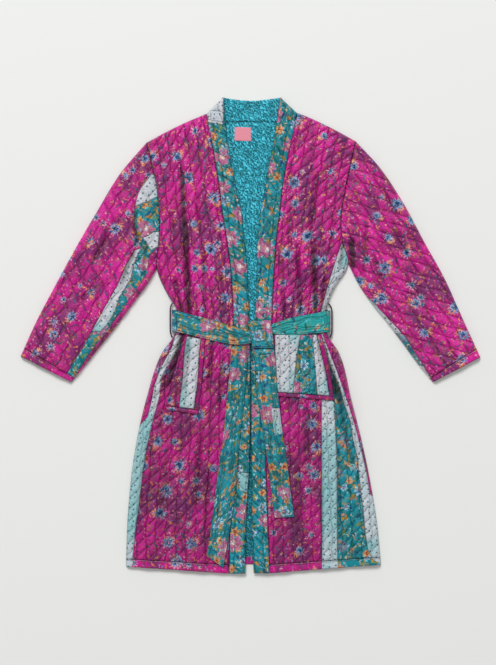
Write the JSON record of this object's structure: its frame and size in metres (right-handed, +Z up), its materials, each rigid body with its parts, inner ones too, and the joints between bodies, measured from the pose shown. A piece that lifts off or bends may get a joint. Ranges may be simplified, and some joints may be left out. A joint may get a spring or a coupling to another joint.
{
  "type": "quilted kimono-style coat",
  "caption": "Quilted patchwork coat laid flat on its back, open front with a band, patch pockets and a tied belt.",
  "frame": {"origin": "centre of the bounding box at the surface the coat lies on", "axes": "+Z up from the surface, +Y towards the neck, +X to the viewer's right"},
  "size_m": [1.011, 1.0466, 0.0216],
  "materials": {
    "silk_magenta": "quilted silk, magenta with small flowers, soft sheen",
    "silk_teal": "quilted silk, teal with rose and cream flowers, soft sheen",
    "silk_pale": "quilted silk, pale with small dark dots beside teal flowers",
    "binding": "magenta silk binding, stitched",
    "lining": "turquoise silk lining with fine wavy quilting",
    "label": "plain pink woven patch",
    "cord": "dark thread"
  },
  "bodies": {
    "root": {"back": "lining", "front_left": "silk_magenta", "front_right": "silk_magenta", "sleeve_left": "silk_magenta", "sleeve_right": "silk_magenta", "band_left": "silk_teal", "band_right": "silk_teal", "band_back": "lining", "pocket_left": "silk_pale", "pocket_right": "silk_pale", "pocket_binding_left": "binding", "pocket_binding_right": "binding", "hem_back": "binding", "hem_left": "binding", "hem_right": "binding", "cuff_left": "binding", "cuff_right": "binding", "belt_left": "silk_teal", "belt_right": "silk_teal", "belt_under": "silk_teal", "knot": "silk_teal", "tail_left": "silk_teal", "tail_right": "silk_teal", "loop_left": "cord", "loop_right": "cord", "label": "label"}
  },
  "joints": []
}
